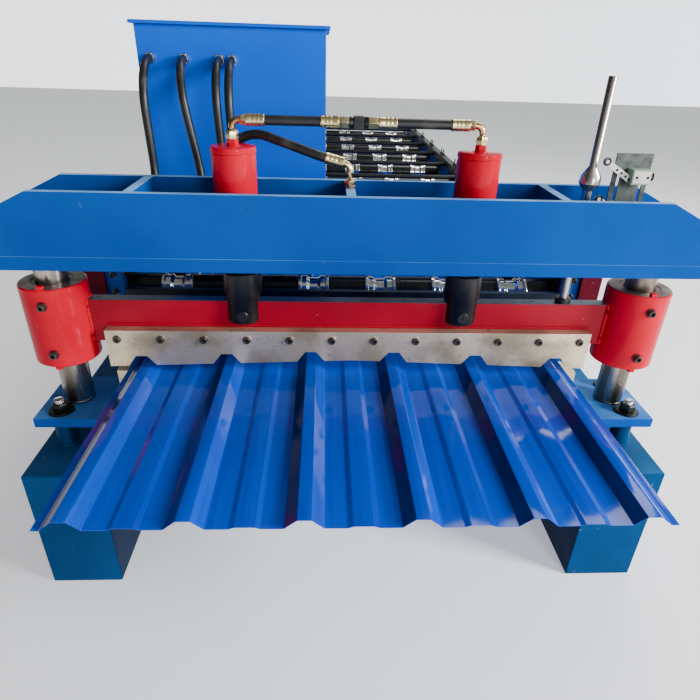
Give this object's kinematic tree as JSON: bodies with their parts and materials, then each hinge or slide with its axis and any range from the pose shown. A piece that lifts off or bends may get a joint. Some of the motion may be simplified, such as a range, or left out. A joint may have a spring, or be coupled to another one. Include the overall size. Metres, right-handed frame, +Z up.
{
  "type": "roll forming machine",
  "caption": "Roll forming machine for trapezoidal roof sheet, seen from its exit end with the hydraulic cut-off shear, forming stations and tank.",
  "frame": {"origin": "centre of the machine's footprint, on the floor under the base beams", "axes": "+Z up, the machine's long way along Y, the sheet leaves towards -Y, +X to the right seen from the exit end"},
  "size_m": [1.535, 4.733, 1.2783],
  "materials": {
    "blue_enamel": "glossy blue machine enamel",
    "red_enamel": "glossy red enamel",
    "blue_sheet": "pre-painted blue coil coating",
    "chromed_steel": "hard chrome",
    "tool_steel": "ground tool steel",
    "black_steel": "blackened steel",
    "brass": "bright brass",
    "hose_rubber": "matt black hose cover"
  },
  "bodies": {
    "root": {"base_beam_left": "blue_enamel", "base_beam_right": "blue_enamel", "base_plate": "blue_enamel", "cap_hose_line": "brass", "cross_member_1": "blue_enamel", "cross_member_2": "blue_enamel", "cross_member_3": "blue_enamel", "crown_floor": "blue_enamel", "crown_front_plate": "blue_enamel", "crown_rear_plate": "blue_enamel", "exit_guide_bar": "blue_enamel", "formed_sheet": "blue_sheet", "guide_post_left": "chromed_steel", "guide_post_right": "chromed_steel", "hydraulic_cylinder_left": "red_enamel", "hydraulic_cylinder_right": "red_enamel", "limit_switches": "black_steel", "lower_die": "tool_steel", "lower_port_fitting": "brass", "lower_port_hose": "hose_rubber", "lower_roll_bank": "chromed_steel", "mount_stud_left_front": "black_steel", "mount_stud_left_rear": "black_steel", "mount_stud_right_front": "black_steel", "mount_stud_right_rear": "black_steel", "side_wall_left": "blue_enamel", "side_wall_right": "blue_enamel", "tank_body": "blue_enamel", "tank_bridge_front": "blue_enamel", "tank_bridge_rear": "blue_enamel", "tank_hose_a": "hose_rubber", "tank_hose_b": "hose_rubber", "tank_hose_c": "hose_rubber", "tank_hose_d": "hose_rubber", "tank_lid": "blue_enamel", "tie_frame": "black_steel"},
    "knife_carriage": {"guide_sleeve_left": "red_enamel", "guide_sleeve_right": "red_enamel", "knife_beam": "red_enamel", "rod_clevis_left": "black_steel", "rod_clevis_right": "black_steel", "trip_rod": "chromed_steel", "upper_knife": "tool_steel"},
    "upper_shaft_01": {"upper_shaft_01": "chromed_steel"},
    "upper_shaft_02": {"upper_shaft_02": "chromed_steel"},
    "upper_shaft_03": {"upper_shaft_03": "chromed_steel"},
    "upper_shaft_04": {"upper_shaft_04": "chromed_steel"},
    "upper_shaft_05": {"upper_shaft_05": "chromed_steel"},
    "upper_shaft_06": {"upper_shaft_06": "chromed_steel"},
    "upper_shaft_07": {"upper_shaft_07": "chromed_steel"},
    "upper_shaft_08": {"upper_shaft_08": "chromed_steel"},
    "upper_shaft_09": {"upper_shaft_09": "chromed_steel"},
    "upper_shaft_10": {"upper_shaft_10": "chromed_steel"}
  },
  "joints": [
    {"name": "knife_slide", "type": "slide", "parent": "root", "child": "knife_carriage", "axis": [0, 0, 1], "range_m": [-0.02, 0.02]},
    {"name": "forming_roll_01", "type": "hinge", "parent": "root", "child": "upper_shaft_01", "pos_m": [0, -1.4335, 0.588], "axis": [1, 0, 0], "continuous": true},
    {"name": "forming_roll_02", "type": "hinge", "parent": "root", "child": "upper_shaft_02", "pos_m": [0, -1.0335, 0.588], "axis": [1, 0, 0], "continuous": true},
    {"name": "forming_roll_03", "type": "hinge", "parent": "root", "child": "upper_shaft_03", "pos_m": [0, -0.6335, 0.588], "axis": [1, 0, 0], "continuous": true},
    {"name": "forming_roll_04", "type": "hinge", "parent": "root", "child": "upper_shaft_04", "pos_m": [0, -0.2335, 0.588], "axis": [1, 0, 0], "continuous": true},
    {"name": "forming_roll_05", "type": "hinge", "parent": "root", "child": "upper_shaft_05", "pos_m": [0, 0.1665, 0.588], "axis": [1, 0, 0], "continuous": true},
    {"name": "forming_roll_06", "type": "hinge", "parent": "root", "child": "upper_shaft_06", "pos_m": [0, 0.5665, 0.588], "axis": [1, 0, 0], "continuous": true},
    {"name": "forming_roll_07", "type": "hinge", "parent": "root", "child": "upper_shaft_07", "pos_m": [0, 0.9665, 0.588], "axis": [1, 0, 0], "continuous": true},
    {"name": "forming_roll_08", "type": "hinge", "parent": "root", "child": "upper_shaft_08", "pos_m": [0, 1.3665, 0.588], "axis": [1, 0, 0], "continuous": true},
    {"name": "forming_roll_09", "type": "hinge", "parent": "root", "child": "upper_shaft_09", "pos_m": [0, 1.7665, 0.588], "axis": [1, 0, 0], "continuous": true},
    {"name": "forming_roll_10", "type": "hinge", "parent": "root", "child": "upper_shaft_10", "pos_m": [0, 2.1665, 0.588], "axis": [1, 0, 0], "continuous": true}
  ],
  "couplings": [
    {"joint": "forming_roll_02", "follows": "forming_roll_01", "ratio": 1},
    {"joint": "forming_roll_03", "follows": "forming_roll_01", "ratio": 1},
    {"joint": "forming_roll_04", "follows": "forming_roll_01", "ratio": 1},
    {"joint": "forming_roll_05", "follows": "forming_roll_01", "ratio": 1},
    {"joint": "forming_roll_06", "follows": "forming_roll_01", "ratio": 1},
    {"joint": "forming_roll_07", "follows": "forming_roll_01", "ratio": 1},
    {"joint": "forming_roll_08", "follows": "forming_roll_01", "ratio": 1},
    {"joint": "forming_roll_09", "follows": "forming_roll_01", "ratio": 1},
    {"joint": "forming_roll_10", "follows": "forming_roll_01", "ratio": 1}
  ]
}
